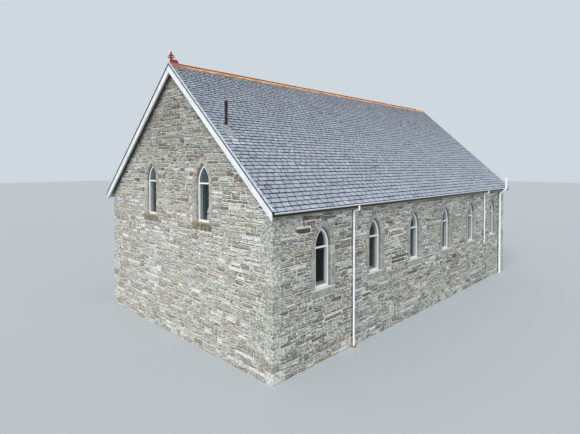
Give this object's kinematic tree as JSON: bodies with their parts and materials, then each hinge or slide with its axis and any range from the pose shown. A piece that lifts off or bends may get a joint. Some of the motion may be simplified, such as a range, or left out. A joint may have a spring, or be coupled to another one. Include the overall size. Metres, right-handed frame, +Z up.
{
  "type": "small stone chapel",
  "caption": "Small rubble-stone chapel with a steep slated roof, pointed lancet windows with dressed stone margins, bargeboards, half-round gutters and a terracotta ridge with a finial.",
  "frame": {"origin": "on the ground plane under the centre of the walls, on the underside of the middle sleeper wall", "axes": "+X along the ridge from the front gable to the rear gable with the door, +Y towards the left side wall, +Z up"},
  "size_m": [17.898, 10.5066, 9.6454],
  "materials": {
    "rubble": "rough rubble with pale pointing",
    "dressed_stone": "dressed grey sandstone",
    "white_frame": "white, satin",
    "glass": "clear with a green tint",
    "painted_wood": "white paint",
    "door_wood": "dark stain",
    "timber": "sawn softwood",
    "slate": "riven slate",
    "terracotta": "weathered fired clay",
    "red_terracotta": "dark red fired clay",
    "metal_strip": "dull coated",
    "soffit_paint": "cream paint",
    "white_plastic": "white, satin",
    "flue_iron": "dark red-brown, dull",
    "lead": "dull grey lead"
  },
  "bodies": {
    "root": {"right_wall": "rubble", "right_wall_head": "rubble", "left_wall": "rubble", "left_wall_head": "rubble", "front_gable_wall": "rubble", "front_gable_top": "rubble", "rear_gable_wall": "rubble", "rear_gable_top": "rubble", "side_jambs": "dressed_stone", "side_arches": "dressed_stone", "side_sills": "dressed_stone", "gable_jambs": "dressed_stone", "gable_arches": "dressed_stone", "gable_sills": "dressed_stone", "side_frames": "white_frame", "gable_frames": "white_frame", "side_glass": "glass", "gable_glass": "glass", "door_frame": "painted_wood", "door_leaves": "door_wood", "door_threshold": "dressed_stone", "floor_boards": "timber", "floor_joists": "timber", "sleeper_walls": "rubble", "wall_plates": "timber", "rafters": "timber", "collars": "timber", "ridge_board": "timber", "roof_boards": "timber", "slates": "slate", "ridge_tiles": "terracotta", "ridge_block": "red_terracotta", "finial": "red_terracotta", "bargeboards": "painted_wood", "verge_strips": "metal_strip", "verge_battens": "soffit_paint", "fascias": "painted_wood", "eaves_soffits": "soffit_paint", "gutters": "white_plastic", "downpipes": "white_plastic", "pipe_clips": "white_plastic", "gully_collars": "terracotta", "vent_pipe": "white_plastic", "flue_pipe": "flue_iron", "flue_flashing": "lead"}
  },
  "joints": []
}
